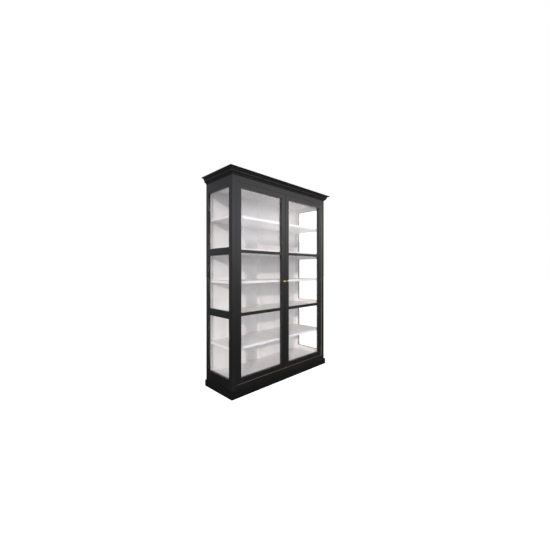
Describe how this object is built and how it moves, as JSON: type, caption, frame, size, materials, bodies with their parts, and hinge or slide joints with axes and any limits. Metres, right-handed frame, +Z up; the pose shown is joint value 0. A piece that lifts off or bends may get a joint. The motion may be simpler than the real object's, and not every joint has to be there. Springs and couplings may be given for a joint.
{
  "type": "glass display showcase",
  "caption": "Free-standing glazed showcase: black case, white shelves and back, hinged glass doors with ball knobs, moulded cornice and skirting.",
  "frame": {"origin": "on the floor, at the middle of the outline of the cornice", "axes": "+Z up, doors face -Y, +X to the right as seen from the front"},
  "size_m": [1.51, 0.505, 2.108],
  "materials": {
    "black_paint": "satin black paint on wood; the faces that look into the case are painted white",
    "white_paint": "satin white paint on wood board",
    "glass": "clear, with a ground bevel along its edges",
    "brass": "polished, slightly aged",
    "zinc": "zinc-plated steel",
    "black_steel": "black lacquered steel",
    "catch_plastic": "moulded white plastic"
  },
  "bodies": {
    "cabinet": {"plinth_front": "black_paint", "plinth_left": "black_paint", "plinth_right": "black_paint", "front_post_left": "black_paint", "front_post_right": "black_paint", "rear_post_left": "black_paint", "rear_post_right": "black_paint", "face_rail_top": "black_paint", "face_rail_bottom": "black_paint", "side_bottom_rail_left": "black_paint", "side_bottom_rail_right": "black_paint", "side_mid_rails_left": "black_paint", "side_mid_rails_right": "black_paint", "side_top_rail_left": "black_paint", "side_top_rail_right": "black_paint", "back_top_rail": "black_paint", "back_bottom_rail": "black_paint", "base_board": "white_paint", "ceiling_board": "white_paint", "roof_panel": "black_paint", "cornice_front": "black_paint", "cornice_left": "black_paint", "cornice_right": "black_paint", "side_glass_left": "glass", "side_glass_right": "glass", "side_beads_left": "white_paint", "side_beads_right": "white_paint", "back_panel_left": "white_paint", "back_panel_right": "white_paint", "back_batten": "white_paint", "shelf_1": "white_paint", "shelf_2": "white_paint", "shelf_3": "white_paint", "shelf_4": "white_paint", "shelf_5": "white_paint", "shelf_pins": "zinc", "pivot_frame_plates": "black_steel", "pivot_pins": "black_steel", "magnetic_catches": "catch_plastic"},
    "door_left": {"door_left_hinge_stile": "black_paint", "door_left_meeting_stile": "black_paint", "door_left_rails": "black_paint", "door_left_muntins": "black_paint", "door_left_glass": "glass", "door_left_beads": "black_paint", "door_left_knob": "brass", "door_left_knob_screw": "zinc", "door_left_pivot_plates": "black_steel", "door_left_strike_plate": "zinc"},
    "door_right": {"door_right_hinge_stile": "black_paint", "door_right_meeting_stile": "black_paint", "door_right_rails": "black_paint", "door_right_muntins": "black_paint", "door_right_glass": "glass", "door_right_beads": "black_paint", "door_right_knob": "brass", "door_right_knob_screw": "zinc", "door_right_pivot_plates": "black_steel", "door_right_strike_plate": "zinc"}
  },
  "joints": [
    {"name": "door_left_pivot", "type": "hinge", "parent": "cabinet", "child": "door_left", "pos_m": [-0.641, -0.1885, 1.055], "axis": [0, 0, -1], "range_deg": [0, 110]},
    {"name": "door_right_pivot", "type": "hinge", "parent": "cabinet", "child": "door_right", "pos_m": [0.641, -0.1885, 1.055], "axis": [0, 0, 1], "range_deg": [0, 110]}
  ]
}
